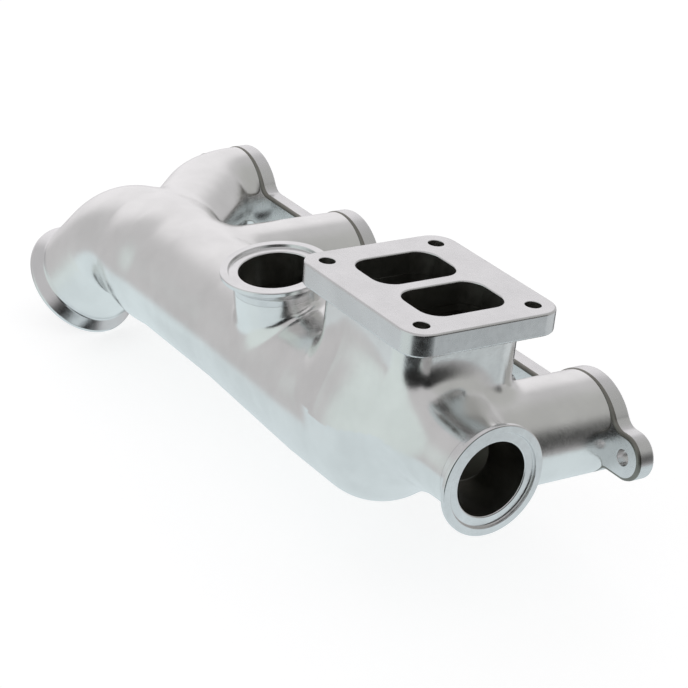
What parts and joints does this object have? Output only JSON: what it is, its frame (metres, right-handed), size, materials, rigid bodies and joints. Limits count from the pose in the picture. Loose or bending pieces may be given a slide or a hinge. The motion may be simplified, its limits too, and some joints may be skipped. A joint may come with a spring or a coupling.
{
  "type": "exhaust manifold",
  "caption": "Log-style turbo exhaust manifold with a divided turbo flange, two wastegate outlets, a crossover inlet and a long bolted head flange.",
  "frame": {"origin": "centre of the turbo flange's top face", "axes": "+Z out of the turbo flange's face, +X along the row of ports towards the side wastegate outlet, +Y towards the cylinder head"},
  "size_m": [0.466, 0.1568, 0.1505],
  "materials": {
    "cast_steel": "polished cast stainless steel",
    "head_flange_steel": "satin",
    "turbo_flange_steel": "ground flat face, satin edges",
    "machined_steel": "turned, satin"
  },
  "bodies": {
    "root": {"head_flange": "head_flange_steel", "runner_1_bend": "cast_steel", "runner_1_branch": "cast_steel", "runner_2": "cast_steel", "runner_3": "cast_steel", "runner_4": "cast_steel", "log_section_1": "cast_steel", "log_section_2": "cast_steel", "collector": "cast_steel", "crossover_reducer": "cast_steel", "crossover_elbow": "cast_steel", "crossover_pipe": "cast_steel", "crossover_vband_flange": "machined_steel", "riser_shell": "cast_steel", "scroll_divider": "cast_steel", "turbo_flange": "turbo_flange_steel", "top_gate_pipe": "cast_steel", "top_gate_vband_flange": "machined_steel", "side_gate_pipe": "cast_steel", "side_gate_vband_flange": "machined_steel"}
  },
  "joints": []
}
